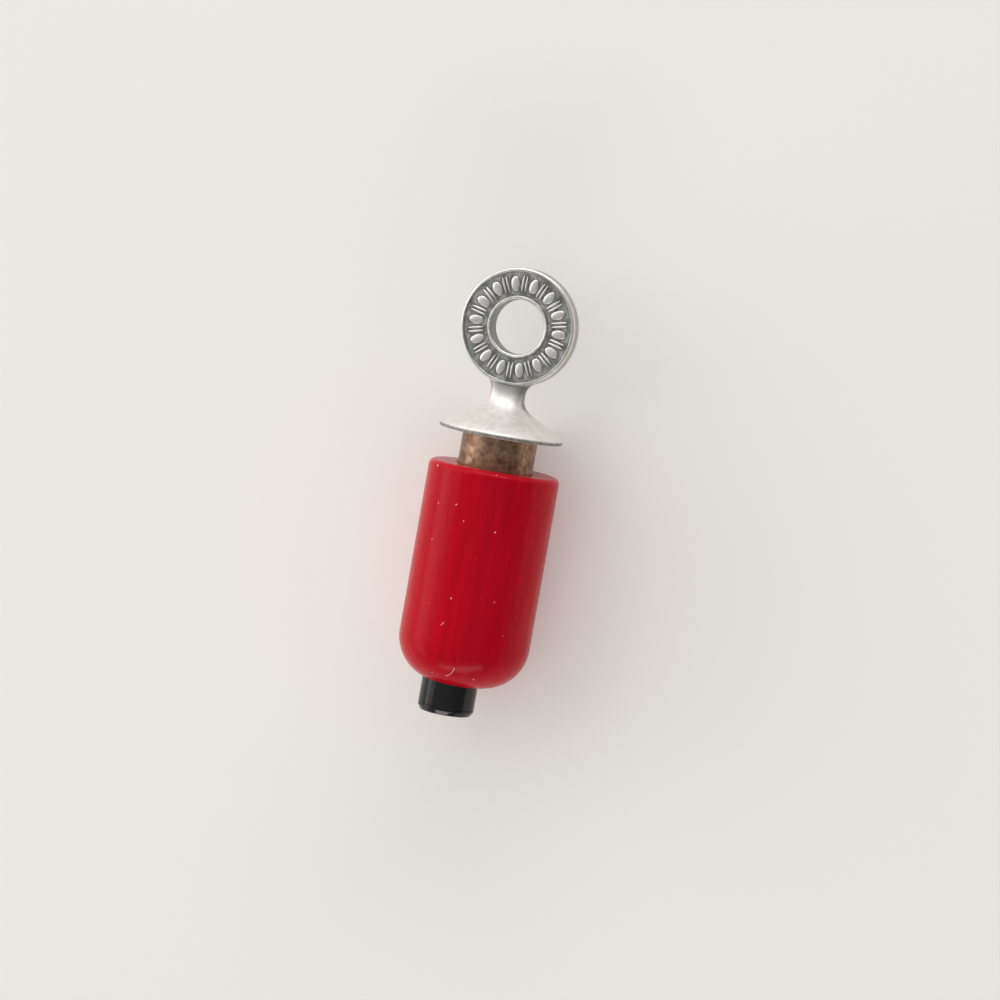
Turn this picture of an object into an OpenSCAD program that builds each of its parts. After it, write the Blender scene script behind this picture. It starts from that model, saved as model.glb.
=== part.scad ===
// A twist bird call lying on its side. A cast pewter key with a flat ring head stands in a bored birch
// barrel, and turning it makes the rosined stem squeak against the wood. A small vial of spare rosin is kept
// in a pocket in the barrel's rounded end. Each module is drawn upright on the barrel's axis, with its
// height taken from the barrel's lower end, and lying() turns it so that the axis runs along Y.

/* [Barrel] */
// Diameter of the turned barrel
barrel_d = 19.05; // [18:0.05:24]
// Length of the barrel from end to end
barrel_len = 31.75; // [31:0.25:45]
// Radius that rounds the lower end
lower_round = 6.5; // [4:0.5:8]
// Radius that eases the lip round the bore
lip_round = 0.9; // [0.4:0.1:1.2]

/* [Key in the barrel] */
// Diameter of the bore that the key turns in
bore_d = 11.1; // [9:0.1:12]
// Wood left between the bore's floor and the vial's pocket
web_t = 2.15; // [1:0.05:6]
// Bare stem between the lip and the skirt
stem_bare = 4.85; // [3:0.05:8]
// Room under the stem's end at the bottom of the bore
stem_room = 0.3; // [0.2:0.1:0.6]
// Bevel on the stem's end
stem_bevel = 0.6; // [0.3:0.1:1]
// Thickness of the rosin on the stem
rosin_t = 0.06; // [0.04:0.01:0.1]
// Running clearance on each side of the rosin
rosin_clear = 0.02; // [0.01:0.01:0.04]

/* [Skirt and neck] */
// Diameter of the skirt's rim
skirt_d = 17.9; // [16:0.1:18.5]
// Thickness of the rim
skirt_rim = 0.6; // [0.4:0.1:1]
// Slope of the skirt's flank in degrees
skirt_slope = 29; // [24:1:34]
// Width of the neck across the face
neck_w = 4.5; // [3.5:0.1:6]
// Thickness of the neck
neck_t = 2.6; // [2:0.1:2.8]
// Fillet from the skirt up to the neck at the sides
side_fillet = 3.6; // [3:0.2:4.4]
// Fillet from the skirt up to the neck at the front and back
face_fillet = 5; // [4.4:0.2:6]
// Fillet between the neck and the ring
ring_fillet = 3; // [2:0.2:4]

/* [Ring head] */
// Outer diameter of the ring
ring_d = 17; // [14:0.5:20]
// Thickness of the ring over its raised rims
ring_t = 3; // [2.8:0.1:4]
// Diameter of the hole for a cord
hole_d = 7.9; // [5:0.1:9]
// Height of the ring's centre over the skirt's rim
ring_rise = 15.15; // [14:0.05:20]
// Width of the outer raised rim
outer_rim_w = 0.42; // [0.3:0.02:0.8]
// Width of the inner raised rim
inner_rim_w = 0.45; // [0.3:0.05:0.8]
// Height of both rims over the band between them
rim_h = 0.25; // [0.15:0.05:0.35]
// Bevel round the hole
hole_bevel = 0.15; // [0.05:0.05:0.25]

/* [Rosin vial] */
// Diameter of the vial
vial_d = 8.2; // [7:0.1:9]
// Length of the vial with its plug
vial_len = 14.5; // [12:0.5:14.5]
// How far the vial stands out of the barrel
vial_out = 4.5; // [3.5:0.5:7]
// Distance of the pocket's axis from the barrel's
vial_side = 1.05; // [0:0.05:1.5]
// Clearance between the vial and its pocket
vial_clear = 0.05; // [0.02:0.01:0.1]
// Wall of the vial
vial_wall = 0.9; // [0.6:0.1:1.2]
// Thickness of the plug's flange
flange_t = 1; // [0.7:0.1:1.6]
// Radius on the flange's edge
flange_round = 0.7; // [0.3:0.1:0.7]
// Length of the plug inside the vial
spigot_len = 2.6; // [1.5:0.1:4]
// Clearance between the plug and the vial
spigot_clear = 0.04; // [0.02:0.01:0.1]
// Share of the vial that the rosin fills
powder_share = 0.55; // [0.3:0.05:0.8]

/* [Hidden] */
$fn = 96;
// One overrun for every cut that passes a face
over = 0.5;

// Heights over the barrel's lower end
vial_foot = -vial_out;
vial_head = vial_foot + vial_len;
// The pocket is bored a little past the vial's head, and the stem stands clear of the bore's floor
pocket_room = 0.3;
pocket_roof = vial_head + pocket_room;
bore_floor = pocket_roof + web_t;
stem_low = bore_floor + stem_room;
stem_in = barrel_len - stem_low;
skirt_under = barrel_len + stem_bare;
rim_top = skirt_under + skirt_rim;
ring_mid = rim_top + ring_rise;
ring_foot = ring_mid - ring_d / 2;
ring_top = ring_mid + ring_d / 2;

// Radii of the stem and of what runs round it
bore_r = bore_d / 2;
film_out_r = bore_r - rosin_clear;
film_in_r = film_out_r - rosin_t;
stem_r = film_in_r - rosin_clear;

// The skirt is turned up to a round core that stays a little inside the flat neck
skirt_r = skirt_d / 2;
core_inset = 0.15;
core_r = neck_w / 2 - core_inset;
half_turn = (90 - skirt_slope) / 2;
face_inset = 0.05;
face_half = neck_t / 2 - face_inset;
core_top = ring_foot + outer_rim_w / 2;

// The face fillets run this far above the flank, so that they meet the side fillets at an angle
face_lift = 0.03;

// The neck starts inside the skirt, where its sides flare like the side fillet but more tightly
flare_share = 0.72;
flare_r = side_fillet * flare_share;
neck_foot = rim_top + flank_h(neck_w / 2 + flare_r * (1 - sin(half_turn)));

// The fillet circles between the neck and the ring touch both, sunk a hair into the ring
kiss = 0.02;
fillet_x = neck_w / 2 + ring_fillet;
fillet_reach = ring_d / 2 + ring_fillet - kiss;
fillet_z = ring_mid - sqrt(pow(fillet_reach, 2) - pow(fillet_x, 2));
shoulder_x = fillet_x * ring_d / 2 / fillet_reach;
flare_z = rim_top + flank_h(neck_w / 2) + flare_r * tan(half_turn);

// The vial's inner sizes
vial_r = vial_d / 2;
cavity_r = vial_r - vial_wall;
cavity_roof = vial_head - vial_wall;
flange_top = vial_foot + flange_t;
spigot_top = flange_top + spigot_len;
spigot_r = cavity_r - spigot_clear;
spigot_bevel = 0.3;
powder_gap = 0.05;
powder_r = cavity_r - powder_gap;
powder_level = powder_r * (2 * powder_share - 1);

// Half way between the ring's top and the vial's foot, where the origin lies
mid = (ring_top + vial_foot) / 2;

// Height of the skirt's flank over its rim at a radius
function flank_h(r) = (skirt_r - r) * tan(skirt_slope);

// Lays an upright piece on its side, with the barrel resting on the ground
module lying() {
    translate([0, -mid, barrel_d / 2])
        rotate([-90, 0, 0])
            children();
}

// Outline between the axis and a flank that climbs to an upright side at x, with a fillet in the corner.
// Revolved or extruded, it gives the skirt below the neck.
module filleted_flank(x, fillet, top, lift = 0) {
    corner_z = rim_top + lift + flank_h(x);
    run = fillet * tan(half_turn);
    centre = [x + fillet, corner_z + run];
    low = [x + run * cos(skirt_slope), corner_z - run * sin(skirt_slope)];
    difference() {
        polygon([
            [0, skirt_under],
            [skirt_r, skirt_under],
            [skirt_r, rim_top + lift],
            low,
            centre,
            [x, centre[1]],
            [x, max(top, centre[1] + over)],
            [0, max(top, centre[1] + over)]
        ]);
        translate(centre)
            circle(r = fillet);
    }
}

// A square corner less a circle, which rounds an outer corner at the origin towards -x and -y
module corner_cut(r) {
    difference() {
        translate([-r, -r])
            square(r + over);
        translate([-r, -r])
            circle(r = r);
    }
}

// Turned birch, bored from the lip for the key and from the rounded end for the vial
module barrel() {
    color("crimson")
        lying()
            difference() {
                rotate_extrude()
                    difference() {
                        square([barrel_d / 2, barrel_len]);
                        translate([barrel_d / 2, barrel_len])
                            corner_cut(lip_round);
                        translate([barrel_d / 2, 0])
                            mirror([0, 1])
                                corner_cut(lower_round);
                    }
                translate([0, 0, bore_floor])
                    cylinder(h = barrel_len - bore_floor + over, r = bore_r);
                translate([-vial_side, 0, -over])
                    cylinder(h = pocket_roof + over, r = vial_r + vial_clear);
            }
}

// Round shank of the key with a bevelled end
module stem() {
    translate([0, 0, stem_low]) {
        cylinder(h = stem_bevel, r1 = stem_r - stem_bevel, r2 = stem_r);
        translate([0, 0, stem_bevel])
            cylinder(h = skirt_under + skirt_rim / 2 - stem_low - stem_bevel, r = stem_r);
    }
}

// Flared skirt, turned round its axis and drawn in at the front and back towards the flat neck
module skirt() {
    intersection() {
        rotate_extrude()
            intersection() {
                filleted_flank(core_r, side_fillet, core_top);
                square([skirt_r, core_top]);
            }
        rotate([90, 0, 90])
            linear_extrude(height = skirt_d + over, center = true)
                for (side = [0, 1])
                    mirror([side, 0])
                        filleted_flank(face_half, face_fillet, core_top, face_lift);
    }
}

// Flat neck, filleted into the ring above and flared into the skirt below
module neck() {
    rotate([90, 0, 0])
        linear_extrude(height = neck_t, center = true)
            difference() {
                translate([-shoulder_x, neck_foot])
                    square([2 * shoulder_x, ring_mid - neck_foot]);
                for (side = [-1, 1]) {
                    translate([side * fillet_x, fillet_z])
                        circle(r = ring_fillet);
                    translate([side * (neck_w / 2 + flare_r), flare_z])
                        circle(r = flare_r);
                    translate([side * (neck_w / 2 + shoulder_x / 2), (fillet_z + flare_z) / 2])
                        square([shoulder_x, max(fillet_z - flare_z, face_lift)], center = true);
                }
                translate([0, ring_mid])
                    circle(r = ring_d / 2 - outer_rim_w / 2);
            }
}

// Flat ring with a raised rim on each edge of both faces
module ring_head() {
    translate([0, 0, ring_mid])
        rotate([90, 0, 0])
            rotate_extrude()
                for (side = [0, 1])
                    mirror([0, side])
                        polygon([
                            [hole_d / 2, 0],
                            [hole_d / 2, ring_t / 2 - hole_bevel],
                            [hole_d / 2 + hole_bevel, ring_t / 2],
                            [hole_d / 2 + inner_rim_w, ring_t / 2],
                            [hole_d / 2 + inner_rim_w, ring_t / 2 - rim_h],
                            [ring_d / 2 - outer_rim_w, ring_t / 2 - rim_h],
                            [ring_d / 2 - outer_rim_w, ring_t / 2],
                            [ring_d / 2, ring_t / 2],
                            [ring_d / 2, 0]
                        ]);
}

// The pewter key, cast in one piece
module key() {
    color("lightslategray")
        lying() {
            stem();
            skirt();
            neck();
            ring_head();
        }
}

// Coat of rosin on the part of the stem that rubs in the bore
module rosin_film() {
    color("goldenrod")
        lying()
            translate([0, 0, stem_low + stem_bevel])
                difference() {
                    cylinder(h = stem_in - stem_bevel - lip_round, r = film_out_r);
                    translate([0, 0, -over])
                        cylinder(h = stem_in + over, r = film_in_r);
                }
}

// Black moulded vial, closed at its head and open at its foot
module vial_body() {
    color("black")
        lying()
            translate([-vial_side, 0, 0])
                difference() {
                    translate([0, 0, flange_top])
                        cylinder(h = vial_head - flange_top, r = vial_r);
                    translate([0, 0, flange_top - over])
                        cylinder(h = cavity_roof - flange_top + over, r = cavity_r);
                }
}

// Push-in plug, with a flange as wide as the vial
module vial_plug() {
    color("dimgray")
        lying()
            translate([-vial_side, 0, 0]) {
                rotate_extrude()
                    difference() {
                        translate([0, vial_foot])
                            square([vial_r, flange_t]);
                        translate([vial_r, vial_foot])
                            mirror([0, 1])
                                corner_cut(flange_round);
                    }
                translate([0, 0, flange_top - flange_t / 2])
                    cylinder(h = flange_t / 2 + spigot_len - spigot_bevel, r = spigot_r);
                translate([0, 0, spigot_top - spigot_bevel])
                    cylinder(h = spigot_bevel, r1 = spigot_r, r2 = spigot_r - spigot_bevel);
            }
}

// Spare rosin in the vial, settled level as the call lies on its side
module rosin_powder() {
    color("gold")
        lying()
            translate([-vial_side, 0, 0])
                intersection() {
                    translate([0, 0, spigot_top + powder_gap])
                        cylinder(h = cavity_roof - spigot_top - 2 * powder_gap, r = powder_r);
                    translate([-vial_d / 2, -powder_level, spigot_top])
                        cube([vial_d, vial_d, vial_len]);
                }
}

barrel();
key();
rosin_film();
vial_body();
vial_plug();
rosin_powder();
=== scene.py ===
from math import acos, asin, cos, hypot, pi, radians, sin, sqrt, tan

import bmesh
import bpy
from mathutils import Matrix, Vector, noise


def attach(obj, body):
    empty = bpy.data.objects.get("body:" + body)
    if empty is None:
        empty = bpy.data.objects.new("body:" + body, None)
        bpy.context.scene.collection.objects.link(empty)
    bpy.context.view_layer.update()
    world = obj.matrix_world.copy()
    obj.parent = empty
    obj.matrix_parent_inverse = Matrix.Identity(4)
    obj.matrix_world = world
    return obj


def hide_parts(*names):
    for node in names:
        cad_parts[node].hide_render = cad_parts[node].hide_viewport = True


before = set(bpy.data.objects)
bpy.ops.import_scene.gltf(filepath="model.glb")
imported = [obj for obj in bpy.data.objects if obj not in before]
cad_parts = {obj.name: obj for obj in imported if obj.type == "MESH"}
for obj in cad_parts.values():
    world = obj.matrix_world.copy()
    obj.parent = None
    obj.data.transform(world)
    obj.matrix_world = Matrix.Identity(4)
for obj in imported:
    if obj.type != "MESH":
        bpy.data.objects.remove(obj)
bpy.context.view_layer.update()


# The studio: a white table that the call lies on, seen almost straight from above with the ring head at the
# top. The lamps stand on the left, beyond the ring head and at the plug's end, so that the sides facing them
# are bright and what faces the camera stays deep in colour.

def linear(code):
    """An sRGB hex colour as linear values, with full alpha."""
    parts = [int(code[i:i + 2], 16) / 255 for i in (1, 3, 5)]
    return [c / 12.92 if c <= 0.04045 else ((c + 0.055) / 1.055) ** 2.4 for c in parts] + [1.0]


def add(tree, kind, inputs=None, **settings):
    """A new node. Each input takes a value or another node's output."""
    made = tree.nodes.new(kind)
    for name, value in settings.items():
        setattr(made, name, value)
    for key, value in (inputs or {}).items():
        if isinstance(value, bpy.types.NodeSocket):
            tree.links.new(value, made.inputs[key])
        else:
            made.inputs[key].default_value = value
    return made


scene = bpy.context.scene
scene.view_settings.view_transform = "Standard"

# The camera stands 15.9 degrees round the barrel's axis from straight above and 5.1 degrees towards the ring
# head. It aims a little beside and below a point on the axis, to frame the call as the photograph does.
azimuth, elevation, roll = radians(15.9), radians(5.1), radians(10.04)
camera_distance = 0.6
on_axis = Vector((0, -0.000175, 0.009525))
toward = Vector((sin(azimuth) * cos(elevation), sin(elevation), cos(azimuth) * cos(elevation)))
level = Vector((cos(azimuth), 0, -sin(azimuth)))
right = level * cos(roll) + toward.cross(level) * sin(roll)
up = toward.cross(right)
aim = on_axis + right * 0.001375 - up * 0.000948
facing = Matrix((right, up, toward)).transposed().to_4x4()
camera = bpy.data.objects.new("camera", bpy.data.cameras.new("camera"))
camera.data.lens = 149.9
camera.data.sensor_width = 36
camera.matrix_world = Matrix.Translation(aim + toward * camera_distance) @ facing
scene.collection.objects.link(camera)
scene.camera = camera

# An even pale sky, brighter towards the window on the left
world = bpy.data.worlds.new("studio")
world.use_nodes = True
scene.world = world
sky = world.node_tree
sky.nodes.clear()
direction = add(sky, "ShaderNodeTexCoord")
leftward = add(sky, "ShaderNodeVectorMath", {0: direction.outputs["Generated"], 1: (-0.8, 0.25, 0.55)},
               operation="DOT_PRODUCT")
fade = add(sky, "ShaderNodeMapRange", {"Value": leftward.outputs["Value"], "From Min": -0.7, "From Max": 0.8,
                                       "To Min": 0.3, "To Max": 0.5}, interpolation_type="SMOOTHSTEP")
glow = add(sky, "ShaderNodeBackground", {"Color": linear("#F5F4F2"), "Strength": fade.outputs["Result"]})
add(sky, "ShaderNodeOutputWorld", {"Surface": glow.outputs["Background"]})

# Each lamp's name, place, width and height in metres, and power in watts. The near lamp draws the glint on
# the plug's rim.
for name, spot, size, power in (("window_lamp", (-1.3, -0.12, 0.42), (1.8, 0.5), 3.5),
                                ("far_lamp", (-1.3, 0.75, 0.75), (2.3, 1.7), 11.0),
                                ("low_lamp", (0.05, 1.35, 0.4), (1.3, 0.6), 8.0),
                                ("near_lamp", (0.18, -1.12, 0.42), (1.3, 0.24), 3.8)):
    lamp = bpy.data.objects.new(name, bpy.data.lights.new(name, "AREA"))
    lamp.data.shape = "RECTANGLE"
    lamp.data.size, lamp.data.size_y = size
    lamp.data.energy = power
    lamp.location = spot
    lamp.rotation_euler = (Vector((0, 0, 0.01)) - lamp.location).to_track_quat("-Z", "Y").to_euler()
    scene.collection.objects.link(lamp)

table_half = 1.5
table_corners = [(x * table_half, y * table_half, 0) for x, y in ((-1, -1), (1, -1), (1, 1), (-1, 1))]
table_mesh = bpy.data.meshes.new("table")
table_mesh.from_pydata(table_corners, [], [(0, 1, 2, 3)])
table = bpy.data.objects.new("table", table_mesh)
scene.collection.objects.link(table)

# Matt white laminate, with a little glow of its own in what the camera and the metal see of it. Far out,
# where the lamps stand close to it, it is painted grey: painted shade against the lamps' light.
laminate = bpy.data.materials.new("white laminate")
laminate.use_nodes = True
tree = laminate.node_tree
tree.nodes.clear()
ray = add(tree, "ShaderNodeLightPath")
seen = add(tree, "ShaderNodeMath", {0: ray.outputs["Is Camera Ray"], 1: ray.outputs["Is Glossy Ray"]},
           operation="MAXIMUM")
seen = add(tree, "ShaderNodeMath", {0: seen.outputs[0], 1: ray.outputs["Is Transmission Ray"]},
           operation="MAXIMUM")
coords = add(tree, "ShaderNodeTexCoord").outputs["Object"]
from_middle = add(tree, "ShaderNodeVectorMath", {0: coords}, operation="LENGTH")
# Painted shade: grey far out from the middle
painted_shade_far_out = add(tree, "ShaderNodeMapRange", {"Value": from_middle.outputs["Value"], "From Min": 0.25,
                                           "From Max": 1.2}, interpolation_type="SMOOTHSTEP")
white = add(tree, "ShaderNodeMix", {0: painted_shade_far_out.outputs["Result"], 6: linear("#F1EEE8"), 7: linear("#83817E")},
            data_type="RGBA")
paint = add(tree, "ShaderNodeBsdfDiffuse", {"Color": white.outputs[2]})
lit = add(tree, "ShaderNodeEmission", {"Color": linear("#FFFFFF"), "Strength": 0.16})
both = add(tree, "ShaderNodeAddShader", {0: paint.outputs[0], 1: lit.outputs[0]})
mixed = add(tree, "ShaderNodeMixShader", {0: seen.outputs[0], 1: paint.outputs[0], 2: both.outputs[0]})
add(tree, "ShaderNodeOutputMaterial", {"Surface": mixed.outputs[0]})
table_mesh.materials.append(laminate)


# The barrel: birch dowel turned to a soft edge round the lip and a deep rounding at the other end, bored for
# the key from the lip and for the rosin vial from the rounded end, dyed red and lacquered. The lacquer is
# thin and satin, so the grain shows in it as fine streaks along the barrel.

MM = 0.001
MIDDLE = 28.175  # height over the barrel's lower end, in mm, at which the frame's origin lies
AXIS_UP = 9.525  # height of the barrel's axis over the table, in mm
AROUND = 192  # points in a ring round the barrel


def place(x, height, depth):
    """A point given in mm over the barrel's lower end, in the frame and in metres."""
    return x * MM, (height - MIDDLE) * MM, (AXIS_UP + depth) * MM


def turned(corners, steps=8):
    """Points of a turned outline. A corner is (radius, height, rounding), and a rounded one becomes an arc,
    with a point close by on each side that keeps the straight runs flat."""
    points = []
    for i, (r, h, rounding) in enumerate(corners):
        here = Vector((r, h))
        if not rounding:
            points.append((r, h))
            continue
        back = (Vector(corners[i - 1][:2]) - here).normalized()
        ahead = (Vector(corners[i + 1][:2]) - here).normalized()
        half = acos(max(-1, min(1, back.dot(ahead)))) / 2
        reach = rounding / tan(half)
        centre = here + (back + ahead).normalized() * rounding / sin(half)
        start, end = here + back * reach - centre, here + ahead * reach - centre
        points.append(tuple(centre + start + back * rounding * 0.2))
        for k in range(steps + 1):
            points.append(tuple(centre + start.slerp(end, k / steps).normalized() * rounding))
        points.append(tuple(centre + end + ahead * rounding * 0.2))
    return points


def circle(r, h, side=0.0):
    """A ring of points square to the barrel's axis, at side mm from it."""
    return [place(side + r * cos(2 * pi * k / AROUND), h, r * sin(2 * pi * k / AROUND))
            for k in range(AROUND)]


def skinned(name, loops, material, looped=False):
    """A closed mesh over loops of points. Its ends get a pole each, unless the last loop joins the first."""
    count = len(loops[0])
    points = [p for loop in loops for p in loop]
    faces = []
    pairs = [(i, i + 1) for i in range(len(loops) - 1)] + ([(len(loops) - 1, 0)] if looped else [])
    for a, b in pairs:
        for k in range(count):
            n = (k + 1) % count
            faces.append((a * count + k, a * count + n, b * count + n, b * count + k))
    if not looped:
        for loop in (0, len(loops) - 1):
            points.append(tuple(sum(p[i] for p in loops[loop]) / count for i in range(3)))
            pole = len(points) - 1
            faces += [(loop * count + k, loop * count + (k + 1) % count, pole) for k in range(count)]
    mesh = bpy.data.meshes.new(name)
    mesh.from_pydata(points, [], faces)
    shell = bmesh.new()
    shell.from_mesh(mesh)
    bmesh.ops.recalc_face_normals(shell, faces=shell.faces)
    shell.to_mesh(mesh)
    shell.free()
    mesh.shade_smooth()
    mesh.materials.append(material)
    made = bpy.data.objects.new(name, mesh)
    scene.collection.objects.link(made)
    return made


# The dowel's radius is 9.525 mm. The mesh is 0.005 mm inside it, as the flats of the CAD model are.
barrel_r, barrel_len = 9.52, 31.75
lower_round, lip_round, bore_round = 6.5, 0.9, 0.18
flat_r = barrel_r - lower_round
bore_r, bore_floor = 5.55, 12.45
pocket_side, pocket_r, pocket_roof = -1.05, 4.15, 10.3
pocket_eased, end_ring = pocket_r + 0.13, 5.7


def end_height(x, z):
    """Height of the rounded end's surface at a place across the barrel."""
    over_flat = max(0.0, hypot(x, z) - flat_r)
    return lower_round - sqrt(lower_round ** 2 - min(over_flat, lower_round) ** 2)


def mouth(r, side, lift):
    """A loop round the vial's pocket, on the rounded end or lifted by a little into the pocket."""
    loop = []
    for k in range(AROUND):
        x, z = side + r * cos(2 * pi * k / AROUND), r * sin(2 * pi * k / AROUND)
        loop.append(place(x, end_height(x, z) + lift, z))
    return loop


# From the pocket's roof down to its eased mouth, out over the rounded end, up the side and into the bore
spread_steps, round_steps, side_rings, side_step = 6, 28, 30, 0.8
loops = [circle(r, pocket_roof, pocket_side) for r in (1.2, 2.9, 4.0)]
loops += [circle(pocket_r, h, pocket_side) for h in (pocket_roof, 10.2, 8.0, 5.0, 3.0, 2.2)]
loops += [mouth(pocket_r + wider, pocket_side, lift)
          for wider, lift in ((0, 0.25), (0, 0.12), (0.02, 0.05), (0.07, 0.01), (0.13, 0))]
for k in range(1, spread_steps):
    t = k / spread_steps
    loops.append(mouth(pocket_eased + (end_ring - pocket_eased) * t, pocket_side * (1 - t), 0))
start = asin((end_ring - flat_r) / lower_round)
for k in range(round_steps + 1):
    t = start + (pi / 2 - start) * k / round_steps
    loops.append(circle(flat_r + lower_round * sin(t), lower_round - lower_round * cos(t)))
loops += [circle(barrel_r, lower_round + 0.2 + k * side_step) for k in range(side_rings)]
loops += [circle(r, h) for r, h in turned([
    (barrel_r, 30.6, 0), (barrel_r, barrel_len, lip_round), (bore_r, barrel_len, bore_round),
    (bore_r, bore_floor, 0), (0.6, bore_floor, 0)], 12)]

# Red-dyed birch under satin lacquer: a deep clear red in fine lines along the axis. They are about 0.3 mm
# apart, coarser than birch's own pores, so that they show.
birch = bpy.data.materials.new("lacquered red birch")
birch.use_nodes = True
tree = birch.node_tree
tree.nodes.clear()
coords = add(tree, "ShaderNodeTexCoord").outputs["Object"]
mm_place = add(tree, "ShaderNodeMapping", {"Vector": coords, "Scale": (1000, 1000, 1000)}).outputs[0]
along = add(tree, "ShaderNodeMapping", {"Vector": coords, "Scale": (1000, 45, 1000)}).outputs[0]
pores = add(tree, "ShaderNodeTexNoise", {"Vector": along, "Scale": 3.2, "Detail": 5.0, "Roughness": 0.62})
flame = add(tree, "ShaderNodeTexNoise", {"Vector": along, "Scale": 0.9, "Detail": 2.0})
tone = add(tree, "ShaderNodeMath", {0: pores.outputs[0], 1: flame.outputs[0]}, operation="MULTIPLY")
dye = add(tree, "ShaderNodeValToRGB", {"Fac": tone.outputs[0]})
deep, clear = dye.color_ramp.elements
deep.position, deep.color = 0.12, linear("#BA001B")
clear.position, clear.color = 0.4, linear("#D2001E")
gloss = add(tree, "ShaderNodeMapRange", {"Value": pores.outputs[0], "From Min": 0.3, "From Max": 0.7,
                                         "To Min": 0.22, "To Max": 0.28})
# The lacquer sinks a little over the pores, and ripples over about 3 mm
ripple = add(tree, "ShaderNodeTexNoise", {"Vector": mm_place, "Scale": 0.35, "Detail": 1.0})
streaks = add(tree, "ShaderNodeBump", {"Strength": 0.15, "Distance": 0.00004, "Height": pores.outputs[0]})
relief = add(tree, "ShaderNodeBump", {"Strength": 0.2, "Distance": 0.0004, "Height": ripple.outputs[0],
                                      "Normal": streaks.outputs[0]})

# Nicks in the lacquer that show pale wood: ragged specks up to 0.3 mm across. Each 1.5 mm cell of the wood
# has one at most, and few of them lie on the surface.
frayed = add(tree, "ShaderNodeTexNoise", {"Vector": mm_place, "Scale": 5.0, "Detail": 1.0})
frayed = add(tree, "ShaderNodeVectorMath", {0: frayed.outputs["Color"], 1: (0.5, 0.5, 0.5), 2: mm_place},
             operation="MULTIPLY_ADD")
cells = add(tree, "ShaderNodeTexVoronoi", {"Vector": frayed.outputs[0], "Scale": 0.66})
lot = add(tree, "ShaderNodeSeparateColor", {0: cells.outputs["Color"]})
nick_size = add(tree, "ShaderNodeMapRange", {"Value": lot.outputs[0], "From Min": 0.45, "From Max": 1.0,
                                             "To Min": 0.0, "To Max": 0.095})
nick = add(tree, "ShaderNodeMath", {0: cells.outputs["Distance"], 1: nick_size.outputs[0]},
           operation="LESS_THAN")
marks = nick.outputs[0]

# Two curved scratches on the upper side, 0.07 mm wide. Each is an arc, given in mm and degrees by its centre,
# its radius, the direction of its middle and how far it reaches to each side of that.
height = add(tree, "ShaderNodeSeparateXYZ", {0: coords}).outputs["Z"]
upper = add(tree, "ShaderNodeMath", {0: height, 1: AXIS_UP * MM}, operation="GREATER_THAN")
for x, y, scratch_r, middle, reach in ((-0.5, -24.35, 2.25, -41, 28), (-3.33, -17.15, 3.0, -36, 7)):
    spot = add(tree, "ShaderNodeMapping", {"Vector": coords, "Scale": (1000, 1000, 0),
                                           "Location": (-x, -y, 0)})
    away = add(tree, "ShaderNodeVectorMath", {0: spot.outputs[0]}, operation="LENGTH")
    line = add(tree, "ShaderNodeMath", {0: away.outputs["Value"], 1: scratch_r, 2: 0.035},
               operation="COMPARE")
    to_middle = (cos(radians(middle)), sin(radians(middle)), 0)
    bearing = add(tree, "ShaderNodeVectorMath", {0: spot.outputs[0]}, operation="NORMALIZE")
    bearing = add(tree, "ShaderNodeVectorMath", {0: bearing.outputs[0], 1: to_middle},
                  operation="DOT_PRODUCT")
    arc = add(tree, "ShaderNodeMath", {0: bearing.outputs["Value"], 1: cos(radians(reach))},
              operation="GREATER_THAN")
    line = add(tree, "ShaderNodeMath", {0: line.outputs[0], 1: arc.outputs[0]}, operation="MULTIPLY")
    line = add(tree, "ShaderNodeMath", {0: line.outputs[0], 1: upper.outputs[0]}, operation="MULTIPLY")
    marks = add(tree, "ShaderNodeMath", {0: marks, 1: line.outputs[0]}, operation="MAXIMUM").outputs[0]
chipped = add(tree, "ShaderNodeMix", {0: marks, 6: dye.outputs[0], 7: linear("#F2C9C0")}, data_type="RGBA")
coat = add(tree, "ShaderNodeBsdfPrincipled", {"Base Color": chipped.outputs[2], "Roughness": gloss.outputs[0],
                                              "IOR": 1.5, "Specular IOR Level": 0.12,
                                              "Normal": relief.outputs[0]})
add(tree, "ShaderNodeOutputMaterial", {"Surface": coat.outputs[0]})

barrel = skinned("barrel_turned", loops, birch)
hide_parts("barrel")
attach(barrel, "barrel")


# The key: pewter, cast in one piece with a flat ring to turn it by, a neck that flares into a skirt, and a
# round stem that turns in the barrel. The casting is tumbled, so raised edges are bright and the recessed
# band of the ring keeps a grey skin. The band carries a border of beads and pairs of ribs on both faces.

stem_low, stem_r, stem_bevel = 12.75, 5.45, 0.6
skirt_under, skirt_r, skirt_rim, rim_rolled = 36.6, 8.95, 0.6, 0.65
rim_top = skirt_under + skirt_rim
ring_mid, ring_r, hole_r, ring_half, band_half = 52.35, 8.5, 3.95, 1.5, 1.25
# Radii of the inner rim's edge, of the band's two edges and of the outer rim's edge
inner_rim, band_from, band_to, outer_rim = 4.42, 4.5, 7.98, 8.04
border_r = (band_from + band_to) / 2
# The neck: half its width and its thickness, the slope at which each flank leaves the skirt's rim, and how
# slowly it bends upright
neck_half, side_slope, side_bend = 2.25, radians(28.5), 0.8
face_half, face_slope, face_bend = 1.25, radians(28), 1.25
# Heights over the skirt's rim at which the flank stops being fuller, the neck stands upright, and its root
# starts to narrow inside the ring. Then half of the root's width and of its thickness.
full_top, neck_top, root_low, root_side, root_face = 2.6, 6.6, 7.55, 3.84, 1.2
# The fillet between the neck and the ring sinks 0.02 mm into the ring
ring_fillet = 3.0
fillet_x = neck_half + ring_fillet
fillet_low = ring_mid - rim_top - sqrt((ring_r + ring_fillet - 0.02) ** 2 - fillet_x ** 2)


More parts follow.
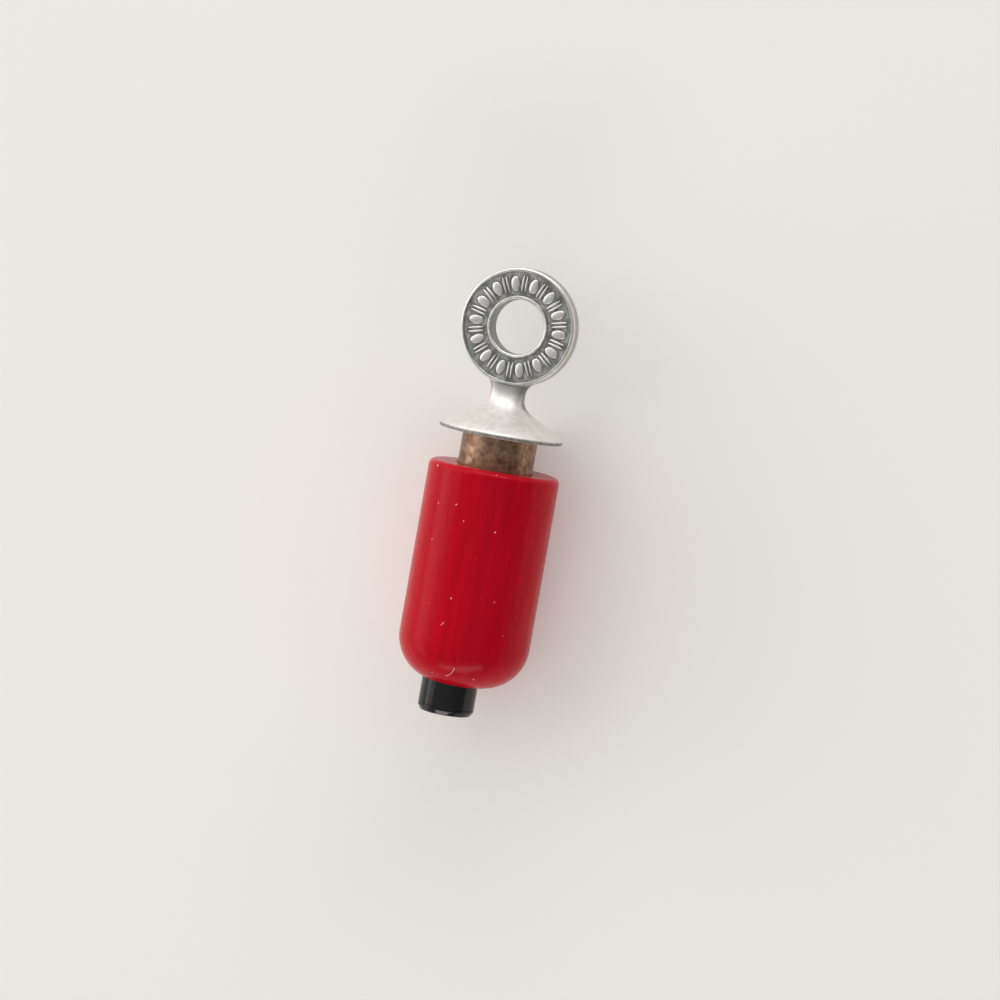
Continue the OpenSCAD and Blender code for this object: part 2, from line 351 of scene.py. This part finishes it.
def flared(half, slope, bend, h):
    """Half width at h mm over the skirt's rim, where the flank rises at the slope, a little fuller next to
    the rim, and bends slowly up into a side that stands at half."""
    start = skirt_r - bend ** 2 / (skirt_r - half)
    widths = []
    for height in (h, neck_top):
        flank = start - height / tan(slope)
        widths.append((half + flank) / 2 + hypot((half - flank) / 2, bend))
    fuller = 0.5 * h * (1 - min(h, full_top) / full_top) ** 2
    return widths[0] + fuller - (widths[1] - half) * min(1.0, h / neck_top) ** 3


def eased(t):
    """0 to 1, slow at both ends."""
    t = min(1, max(0, t))
    return t * t * (3 - 2 * t)


def section(h):
    """A loop of the neck at h mm over the skirt's rim: a circle low down and a rounded oblong higher up."""
    wide = flared(neck_half, side_slope, side_bend, h)
    if h > fillet_low:
        curve = fillet_x - sqrt(ring_fillet ** 2 - min(h - fillet_low, ring_fillet - 0.1) ** 2)
        wide = (wide ** 12 + curve ** 12) ** (1 / 12) if h < neck_top else max(wide, curve)
    if h > root_low:
        wide = root_side - (h - root_low) * 0.8
    # Round next to the rim, thinner from there up to the root, and squarer over the middle of the neck
    thick = flared(face_half, face_slope, face_bend, h)
    thick = wide + (thick - wide) * eased(h)
    thick -= (thick - root_face) * eased((h - 6.66) / 0.4)
    power = 2 + 1.2 * eased((h - 3.0) / 3.0)
    loop = []
    for k in range(AROUND):
        c, s = cos(2 * pi * k / AROUND), sin(2 * pi * k / AROUND)
        r = (abs(c / wide) ** power + abs(s / thick) ** power) ** (-1 / power)
        loop.append(place(r * c, rim_top + h, r * s))
    return loop


# Tumbled pewter: satin grey metal, mottled in patches of about 1 mm where the mould was rough, browned by
# rosin on the stem, with painted shade and painted dark reflection in places. Sizes in it are in mm from the
# ring's centre. Along the key, the ring ends at -8.5 and the skirt's rim lies between -15.15 and -15.75.
pewter = bpy.data.materials.new("tumbled cast pewter")
pewter.use_nodes = True
tree = pewter.node_tree
tree.nodes.clear()
coords = add(tree, "ShaderNodeTexCoord").outputs["Object"]
from_ring = add(tree, "ShaderNodeMapping", {"Vector": coords, "Scale": (1000, 1000, 1000),
                                            "Location": (0, MIDDLE - ring_mid, -AXIS_UP)}).outputs[0]
split = add(tree, "ShaderNodeSeparateXYZ", {0: from_ring})
along_key = split.outputs["Y"]
flat = add(tree, "ShaderNodeCombineXYZ", {0: split.outputs["X"], 1: along_key})
radius = add(tree, "ShaderNodeVectorMath", {0: flat.outputs[0]}, operation="LENGTH")
across = add(tree, "ShaderNodeCombineXYZ", {0: split.outputs["X"], 1: split.outputs["Z"]})
off_axis = add(tree, "ShaderNodeVectorMath", {0: across.outputs[0]}, operation="LENGTH")
depth = add(tree, "ShaderNodeMath", {0: split.outputs["Z"]}, operation="ABSOLUTE")
mottle = add(tree, "ShaderNodeTexNoise", {"Vector": from_ring, "Scale": 1.1, "Detail": 6.0, "Roughness": 0.6})
patches = add(tree, "ShaderNodeMapRange", {"Value": mottle.outputs[0], "From Min": 0.35, "From Max": 0.65})

# Bright where tumbling reached it, and grey in the band between the ring's rims
in_ring = add(tree, "ShaderNodeMapRange", {"Value": radius.outputs["Value"], "From Min": 8.3,
                                           "From Max": 8.1})
sunk = add(tree, "ShaderNodeMapRange", {"Value": depth.outputs[0], "From Min": 1.42, "From Max": 1.26})
recess = add(tree, "ShaderNodeMath", {0: in_ring.outputs[0], 1: sunk.outputs[0]}, operation="MULTIPLY")
bright = add(tree, "ShaderNodeMix", {0: patches.outputs[0], 6: linear("#E5E2DD"), 7: linear("#F1EFEB")},
             data_type="RGBA")
grey = add(tree, "ShaderNodeMix", {0: patches.outputs[0], 6: linear("#868984"), 7: linear("#D4D4CF")},
           data_type="RGBA")
metal = add(tree, "ShaderNodeMix", {0: recess.outputs[0], 6: bright.outputs[2], 7: grey.outputs[2]},
            data_type="RGBA")

# Painted shade: darkest in the band's corners and beside its relief
off_border = add(tree, "ShaderNodeMath", {0: radius.outputs["Value"], 1: border_r}, operation="SUBTRACT")
off_border = add(tree, "ShaderNodeMath", {0: off_border.outputs[0]}, operation="ABSOLUTE")
corner = add(tree, "ShaderNodeMapRange", {"Value": off_border.outputs[0], "From Min": 1.45, "From Max": 1.8})
beside = add(tree, "ShaderNodeAttribute", attribute_name="shade_beside_relief")
painted_nook_shade = add(tree, "ShaderNodeMath", {0: corner.outputs[0], 1: beside.outputs["Fac"]}, operation="MAXIMUM")
painted_nook_shade = add(tree, "ShaderNodeMath", {0: painted_nook_shade.outputs[0], 1: recess.outputs[0]}, operation="MULTIPLY")
painted_nook_shade = add(tree, "ShaderNodeMath", {0: painted_nook_shade.outputs[0], 1: 0.55}, operation="MULTIPLY")
metal = add(tree, "ShaderNodeMix", {0: painted_nook_shade.outputs[0], 6: metal.outputs[2], 7: linear("#353638")},
            data_type="RGBA")

# Painted shade: dark and dull on the ring's side, in its hole and on the edge of the skirt
shaded_ring_side = add(tree, "ShaderNodeMapRange", {"Value": depth.outputs[0], "From Min": 1.3, "From Max": 0.5,
                                             "To Min": 0.0, "To Max": 0.7}, interpolation_type="SMOOTHSTEP")
over_skirt = add(tree, "ShaderNodeMapRange", {"Value": along_key, "From Min": -12.5, "From Max": -11.5})
shaded_ring_side = add(tree, "ShaderNodeMath", {0: shaded_ring_side.outputs[0], 1: over_skirt.outputs[0]},
                operation="MULTIPLY")
shaded_skirt_edge = add(tree, "ShaderNodeMapRange", {"Value": off_axis.outputs["Value"], "From Min": 8.88,
                                              "From Max": 8.94, "To Min": 0.0, "To Max": 0.8})
below_top = add(tree, "ShaderNodeMapRange", {"Value": along_key, "From Min": -14.9, "From Max": -15.1})
shaded_skirt_edge = add(tree, "ShaderNodeMath", {0: shaded_skirt_edge.outputs[0], 1: below_top.outputs[0]},
                 operation="MULTIPLY")
painted_side_shade = add(tree, "ShaderNodeMath", {0: shaded_ring_side.outputs[0], 1: shaded_skirt_edge.outputs[0]}, operation="MAXIMUM")
dull = add(tree, "ShaderNodeMix", {0: patches.outputs[0], 6: linear("#66605C"), 7: linear("#A09A94")},
           data_type="RGBA")
metal = add(tree, "ShaderNodeMix", {0: painted_side_shade.outputs[0], 6: metal.outputs[2], 7: dull.outputs[2]},
            data_type="RGBA")

# Painted shade: grey on the top of the neck, in the corner under the ring
painted_shade_under_ring = add(tree, "ShaderNodeMapRange", {"Value": along_key, "From Min": -10.6, "From Max": -8.7,
                                              "To Min": 0.0, "To Max": 0.6}, interpolation_type="SMOOTHSTEP")
on_neck = add(tree, "ShaderNodeMapRange", {"Value": along_key, "From Min": -8.2, "From Max": -8.3})
painted_shade_under_ring = add(tree, "ShaderNodeMath", {0: painted_shade_under_ring.outputs[0], 1: on_neck.outputs[0]},
                 operation="MULTIPLY")
metal = add(tree, "ShaderNodeMix", {0: painted_shade_under_ring.outputs[0], 6: metal.outputs[2], 7: linear("#6C6D6C")},
            data_type="RGBA")

# Smeared brown by rosin on the stem, and darker as a painted reflection of dark surroundings
near_axis = add(tree, "ShaderNodeMapRange", {"Value": off_axis.outputs["Value"], "From Min": 5.8,
                                             "From Max": 5.5})
below_skirt = add(tree, "ShaderNodeMapRange", {"Value": along_key, "From Min": -15.6, "From Max": -15.75})
on_stem = add(tree, "ShaderNodeMath", {0: near_axis.outputs[0], 1: below_skirt.outputs[0]},
              operation="MULTIPLY")
smear = add(tree, "ShaderNodeTexNoise", {"Vector": from_ring, "Scale": 0.8, "Detail": 5.0, "Roughness": 0.6})
stain_and_painted_reflection = add(tree, "ShaderNodeValToRGB", {"Fac": smear.outputs[0]})
dark_stain_and_reflection, light_stain_and_reflection = stain_and_painted_reflection.color_ramp.elements
dark_stain_and_reflection.position, dark_stain_and_reflection.color = 0.38, linear("#775740")
light_stain_and_reflection.position, light_stain_and_reflection.color = 0.62, linear("#A98B74")
metal = add(tree, "ShaderNodeMix", {0: on_stem.outputs[0], 6: metal.outputs[2], 7: stain_and_painted_reflection.outputs[0]},
            data_type="RGBA")

# Satin, duller towards the skirt, and polished by the wood on the stem. The grit is 0.3 mm, coarser than
# the real one, so that it shows.
satin = add(tree, "ShaderNodeMapRange", {"Value": mottle.outputs[0], "From Min": 0.3, "From Max": 0.7,
                                         "To Min": 0.28, "To Max": 0.4})
skirted = add(tree, "ShaderNodeMapRange", {"Value": along_key, "From Min": -7.0, "From Max": -11.0,
                                           "To Min": 0.0, "To Max": 0.2})
satin = add(tree, "ShaderNodeMath", {0: satin.outputs[0], 1: skirted.outputs[0]})
polished = add(tree, "ShaderNodeMath", {0: on_stem.outputs[0], 1: -0.2}, operation="MULTIPLY")
satin = add(tree, "ShaderNodeMath", {0: satin.outputs[0], 1: polished.outputs[0]})
grit = add(tree, "ShaderNodeTexNoise", {"Vector": from_ring, "Scale": 3.0, "Detail": 4.0, "Roughness": 0.7})
relief = add(tree, "ShaderNodeBump", {"Strength": 0.5, "Distance": 0.00006, "Height": grit.outputs[0]})
relief = add(tree, "ShaderNodeBump", {"Strength": 0.2, "Distance": 0.00015, "Height": mottle.outputs[0],
                                      "Normal": relief.outputs[0]})
skin = add(tree, "ShaderNodeBsdfPrincipled", {"Base Color": metal.outputs[2], "Metallic": 1.0,
                                              "Roughness": satin.outputs[0], "Normal": relief.outputs[0]})
add(tree, "ShaderNodeOutputMaterial", {"Surface": skin.outputs[0]})

# The stem and the skirt are turned shapes, with the neck's loops on top from just over the skirt's rim
past_rim, neck_from, neck_step, neck_loops = 0.35, 0.46, 0.08, 94
past_rim_r = flared(neck_half, side_slope, side_bend, past_rim)
loops = [circle(r, h) for r, h in turned([
    (1.0, stem_low, 0), (stem_r - stem_bevel, stem_low, 0.15), (stem_r, stem_low + stem_bevel, 0.15),
    (stem_r, skirt_under, 0.25), (skirt_r, skirt_under, 0.12), (skirt_r, rim_top, rim_rolled),
    (past_rim_r, rim_top + past_rim, 0)], 10)]
loops += [section(neck_from + k * neck_step) for k in range(neck_loops)]
shaft = skinned("key_shaft", loops, pewter)

# The ring is its own profile swept round, from the hole over one face to the outer side and back
half_profile = turned([(hole_r, 0, 0), (hole_r, ring_half, 0.3), (inner_rim, ring_half, 0.12),
                       (band_from, band_half, 0.08), (band_from + 0.2, band_half, 0)], 5)
half_profile += [(band_from + 0.2 + 0.16 * k, band_half) for k in range(1, 19)]
half_profile += turned([(band_to - 0.24, band_half, 0), (band_to, band_half, 0.08),
                        (outer_rim, ring_half, 0.12), (ring_r, ring_half, 0.33), (ring_r, 0, 0)], 5)
profile = half_profile + [(r, -z) for r, z in reversed(half_profile[1:-1])]
ring_steps = 288
loops = []
for k in range(ring_steps):
    a = 2 * pi * k / ring_steps
    loops.append([place(r * cos(a), ring_mid + r * sin(a), z) for r, z in profile])
head = skinned("key_head", loops, pewter, looped=True)

shell = bmesh.new()
for piece in (shaft, head):
    shell.from_mesh(piece.data)
casting = bpy.data.meshes.new("key_casting")
shell.to_mesh(casting)
shell.free()
casting.shade_smooth()
casting.materials.append(pewter)
for piece in (shaft, head):
    bpy.data.objects.remove(piece)
key = bpy.data.objects.new("key_casting", casting)
scene.collection.objects.link(key)

# The border: beads and pairs of ribs in turn, half sunk in the band of each face. Half sizes are in mm,
# outwards, round the ring and up. The casting near them is marked for painted shade beside the relief.
border = bpy.data.node_groups.new("bead and rib border", "GeometryNodeTree")
sizes = {"Casting": None, "Repeats": 14, "Border Radius": border_r * MM, "Band Lift": band_half * MM,
         "Bead Half Sizes": (1.12, 0.68, 0.25), "Rib Half Sizes": (1.28, 0.19, 0.25), "Rib Offset": 0.27 * MM,
         "Ring Centre": place(0, ring_mid, 0), "Shadow Width": 0.3 * MM, "Metal": pewter}
kinds = {"Casting": "Geometry", "Repeats": "Int", "Bead Half Sizes": "Vector", "Rib Half Sizes": "Vector",
         "Ring Centre": "Vector", "Metal": "Material"}
socket_of = {}
for name in sizes:
    socket = border.interface.new_socket(name=name, in_out="INPUT",
                                         socket_type="NodeSocket" + kinds.get(name, "Float"))
    socket_of[name] = socket.identifier
border.interface.new_socket(name="Casting", in_out="OUTPUT", socket_type="NodeSocketGeometry")
given = add(border, "NodeGroupInput").outputs
bead = add(border, "GeometryNodeMeshUVSphere", {"Segments": 20, "Rings": 10, "Radius": MM})
bead = add(border, "GeometryNodeTransform", {0: bead.outputs[0], "Scale": given["Bead Half Sizes"]})
rib = add(border, "GeometryNodeMeshUVSphere", {"Segments": 16, "Rings": 8, "Radius": MM})
rib = add(border, "GeometryNodeTransform", {0: rib.outputs[0], "Scale": given["Rib Half Sizes"]})
rib_pair = add(border, "GeometryNodeJoinGeometry")
for side in (-1, 1):
    offset = add(border, "ShaderNodeMath", {0: given["Rib Offset"], 1: side}, operation="MULTIPLY")
    offset = add(border, "ShaderNodeCombineXYZ", {1: offset.outputs[0]})
    one_rib = add(border, "GeometryNodeTransform", {0: rib.outputs[0], "Translation": offset.outputs[0]})
    border.links.new(one_rib.outputs[0], rib_pair.inputs[0])
stations = add(border, "GeometryNodeMeshCircle", {"Vertices": given["Repeats"],
                                                  "Radius": given["Border Radius"]})
index = add(border, "GeometryNodeInputIndex")
step = add(border, "ShaderNodeMath", {0: 2 * pi, 1: given["Repeats"]}, operation="DIVIDE")
angle = add(border, "ShaderNodeMath", {0: index.outputs[0], 1: step.outputs[0]}, operation="MULTIPLY")
outwards = add(border, "ShaderNodeCombineXYZ", {2: angle.outputs[0]})
beads = add(border, "GeometryNodeInstanceOnPoints", {
    "Points": stations.outputs[0], "Instance": bead.outputs[0], "Rotation": outwards.outputs[0]})
ribs = add(border, "GeometryNodeInstanceOnPoints", {
    "Points": stations.outputs[0], "Instance": rib_pair.outputs[0], "Rotation": outwards.outputs[0]})
half_step = add(border, "ShaderNodeMath", {0: step.outputs[0], 1: 0.5}, operation="MULTIPLY")
between = add(border, "ShaderNodeCombineXYZ", {2: half_step.outputs[0]})
ribs = add(border, "GeometryNodeTransform", {0: ribs.outputs[0], "Rotation": between.outputs[0]})
row = add(border, "GeometryNodeJoinGeometry")
border.links.new(beads.outputs[0], row.inputs[0])
border.links.new(ribs.outputs[0], row.inputs[0])
lift = add(border, "ShaderNodeCombineXYZ", {2: given["Band Lift"]})
front = add(border, "GeometryNodeTransform", {0: row.outputs[0], "Translation": lift.outputs[0]})
back = add(border, "GeometryNodeTransform", {0: front.outputs[0], "Rotation": (0, pi, 0)})
both_faces = add(border, "GeometryNodeJoinGeometry")
border.links.new(front.outputs[0], both_faces.inputs[0])
border.links.new(back.outputs[0], both_faces.inputs[0])
placed = add(border, "GeometryNodeTransform", {0: both_faces.outputs[0], "Translation": given["Ring Centre"]})
raised = add(border, "GeometryNodeRealizeInstances", {0: placed.outputs[0]})
near = add(border, "GeometryNodeProximity", {0: raised.outputs[0]}, target_element="FACES")
shadow = add(border, "ShaderNodeMapRange", {
    "Value": near.outputs["Distance"], "From Max": given["Shadow Width"], "To Min": 1.0, "To Max": 0.0})
marked = add(border, "GeometryNodeStoreNamedAttribute", {
    "Geometry": given["Casting"], "Name": "shade_beside_relief", "Value": shadow.outputs["Result"]})
whole = add(border, "GeometryNodeJoinGeometry")
border.links.new(marked.outputs[0], whole.inputs[0])
border.links.new(raised.outputs[0], whole.inputs[0])
real = add(border, "GeometryNodeRealizeInstances", {0: whole.outputs[0]})
smooth = add(border, "GeometryNodeSetShadeSmooth", {0: real.outputs[0]})
cast = add(border, "GeometryNodeSetMaterial", {0: smooth.outputs[0], "Material": given["Metal"]})
add(border, "NodeGroupOutput", {0: cast.outputs[0]})
carving = key.modifiers.new("border", "NODES")
carving.node_group = border
for name, value in sizes.items():
    if value is not None:
        carving[socket_of[name]] = value
finished = bpy.data.meshes.new_from_object(key.evaluated_get(bpy.context.evaluated_depsgraph_get()))
key.modifiers.clear()
key.data = finished
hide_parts("key")
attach(key, "key")


# The rosin on the stem: a thin coat that turning the key has rubbed on, amber and glassy, thicker in some
# places than in others. It is the CAD sleeve with rosin's own look.

# Rubbed amber rosin: a clear honey brown with dusty patches 1.8 mm long, drawn out round the stem
rosin = bpy.data.materials.new("rubbed amber rosin")
rosin.use_nodes = True
tree = rosin.node_tree
tree.nodes.clear()
coords = add(tree, "ShaderNodeTexCoord").outputs["Object"]
round_it = add(tree, "ShaderNodeMapping", {"Vector": coords, "Scale": (1000, 2600, 1000)}).outputs[0]
rubbed = add(tree, "ShaderNodeTexNoise", {"Vector": round_it, "Scale": 0.55, "Detail": 5.0,
                                          "Roughness": 0.65})
amber = add(tree, "ShaderNodeValToRGB", {"Fac": rubbed.outputs[0]})
thin_coat, thick_coat = amber.color_ramp.elements
thin_coat.position, thin_coat.color = 0.35, linear("#F0BE78")
thick_coat.position, thick_coat.color = 0.65, linear("#B46A34")
dust = add(tree, "ShaderNodeMapRange", {"Value": rubbed.outputs[0], "From Min": 0.35, "From Max": 0.65,
                                        "To Min": 0.2, "To Max": 0.5})
rub = add(tree, "ShaderNodeBump", {"Strength": 0.4, "Distance": 0.00003, "Height": rubbed.outputs[0]})
glass = add(tree, "ShaderNodeBsdfPrincipled", {"Base Color": amber.outputs[0], "Roughness": dust.outputs[0],
                                               "IOR": 1.53, "Transmission Weight": 0.7,
                                               "Normal": rub.outputs[0]})
add(tree, "ShaderNodeOutputMaterial", {"Surface": glass.outputs[0]})
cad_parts["rosin_film"].material_slots[0].material = rosin


# The vial: a moulded black tube, closed at its head and pressed into the pocket, with its foot standing out
# of the barrel. It is glossy, with the faint scuffs that handling leaves on polystyrene.

vial_r, vial_bore_r, vial_head, vial_mouth, vial_roof = 4.1, 3.2, 10.0, -3.5, 9.1

# Moulded black polystyrene: near black and glossy, with slight sinks of about 1.2 mm and scuffs 0.2 mm wide
# that run round the vial
styrene = bpy.data.materials.new("moulded black polystyrene")
styrene.use_nodes = True
tree = styrene.node_tree
tree.nodes.clear()
coords = add(tree, "ShaderNodeTexCoord").outputs["Object"]
mm_place = add(tree, "ShaderNodeMapping", {"Vector": coords, "Scale": (1000, 1000, 1000)}).outputs[0]
flow = add(tree, "ShaderNodeTexNoise", {"Vector": mm_place, "Scale": 0.8, "Detail": 4.0})
around = add(tree, "ShaderNodeMapping", {"Vector": coords, "Scale": (250, 2200, 250)}).outputs[0]
scuffs = add(tree, "ShaderNodeTexNoise", {"Vector": around, "Scale": 2.0, "Detail": 5.0})
shade = add(tree, "ShaderNodeMix", {0: flow.outputs[0], 6: linear("#08080A"), 7: linear("#131215")},
            data_type="RGBA")
rough = add(tree, "ShaderNodeMapRange", {"Value": scuffs.outputs[0], "From Min": 0.35, "From Max": 0.75,
                                         "To Min": 0.07, "To Max": 0.18})
sink = add(tree, "ShaderNodeBump", {"Strength": 0.3, "Distance": 0.0001, "Height": flow.outputs[0]})
black = add(tree, "ShaderNodeBsdfPrincipled", {"Base Color": shade.outputs[2], "Roughness": rough.outputs[0],
                                               "IOR": 1.55, "Specular IOR Level": 0.35,
                                               "Normal": sink.outputs[0]})
add(tree, "ShaderNodeOutputMaterial", {"Surface": black.outputs[0]})

vial = skinned("vial_tube", [circle(r, h, pocket_side) for r, h in turned([
    (0.8, vial_head, 0), (vial_r, vial_head, 0.45), (vial_r, vial_mouth, 0.12),
    (vial_bore_r, vial_mouth, 0.1), (vial_bore_r, vial_roof, 0.3), (0.8, vial_roof, 0)])], styrene)
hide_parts("vial_body")
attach(vial, "vial")


# The plug: moulded in the same black, with a flange whose edge is bevelled and whose middle has the dimple of
# the mould's gate. Its spigot is pushed into the vial's foot.

plug_foot, spigot_r, spigot_top, spigot_bevel = -4.5, 3.16, -0.9, 0.3
gate_r, gate_depth, bevel_in, bevel_up = 0.45, 0.12, 0.43, 0.69
plug = skinned("vial_stopper", [circle(r, h, pocket_side) for r, h in turned([
    (0.15, plug_foot + gate_depth, 0), (gate_r, plug_foot + gate_depth, 0.05),
    (gate_r + 0.1, plug_foot, 0.05), (vial_r - bevel_in, plug_foot, 0.25),
    (vial_r, plug_foot + bevel_up, 0.25), (vial_r, vial_mouth, 0.1), (spigot_r, vial_mouth, 0.05),
    (spigot_r, spigot_top - spigot_bevel, 0.05), (spigot_r - spigot_bevel, spigot_top, 0.05),
    (0.5, spigot_top, 0)])], styrene)
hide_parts("vial_plug")
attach(plug, "plug")


# The spare rosin: crushed amber rosin that fills a little over half of the vial and has settled level along
# its side, with lumps on its surface.

powder_r, powder_level, powder_low, powder_high = 3.13, 0.24, -0.83, 9.03
lump_height, lumps_per_mm = 0.12, 1.3
slices, arc_points, level_points = 60, 48, 31

# Crushed amber rosin: dull pale crumbs of 0.25 mm, with painted shade in the gaps between them
crushed = bpy.data.materials.new("crushed amber rosin")
crushed.use_nodes = True
tree = crushed.node_tree
tree.nodes.clear()
coords = add(tree, "ShaderNodeTexCoord").outputs["Object"]
mm_place = add(tree, "ShaderNodeMapping", {"Vector": coords, "Scale": (1000, 1000, 1000)}).outputs[0]
grains = add(tree, "ShaderNodeTexVoronoi", {"Vector": mm_place, "Scale": 4.0})
crumb_and_gap_shade = add(tree, "ShaderNodeMix", {0: grains.outputs["Distance"], 6: linear("#F0D49A"),
                                    7: linear("#B9762C")}, data_type="RGBA")
lumps = add(tree, "ShaderNodeBump", {"Strength": 0.8, "Distance": 0.0001,
                                     "Height": grains.outputs["Distance"]})
powdery = add(tree, "ShaderNodeBsdfPrincipled", {"Base Color": crumb_and_gap_shade.outputs[2], "Roughness": 0.85,
                                                 "IOR": 1.53, "Normal": lumps.outputs[0]})
add(tree, "ShaderNodeOutputMaterial", {"Surface": powdery.outputs[0]})

# Each slice runs round the vial's wall under the level, and back over the lumpy surface
loops = []
rise = asin(powder_level / powder_r)
wall = [rise - (pi + 2 * rise) * i / (arc_points - 1) for i in range(arc_points)]
level_half = powder_r * cos(rise)
for k in range(slices):
    h = powder_low + (powder_high - powder_low) * k / (slices - 1)
    loop = [place(pocket_side + powder_r * cos(a), h, powder_r * sin(a)) for a in wall]
    for i in range(1, level_points + 1):
        x = -level_half + 2 * level_half * i / (level_points + 1)
        flat_by_wall = min(1, 6 * (1 - abs(x) / level_half))
        lump = noise.noise(Vector((x * lumps_per_mm, h * lumps_per_mm, 4.0))) * lump_height * flat_by_wall
        loop.append(place(pocket_side + x, h, powder_level + lump))
    loops.append(loop)
powder = skinned("rosin_crumbs", loops, crushed)
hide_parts("rosin_powder")
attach(powder, "vial")
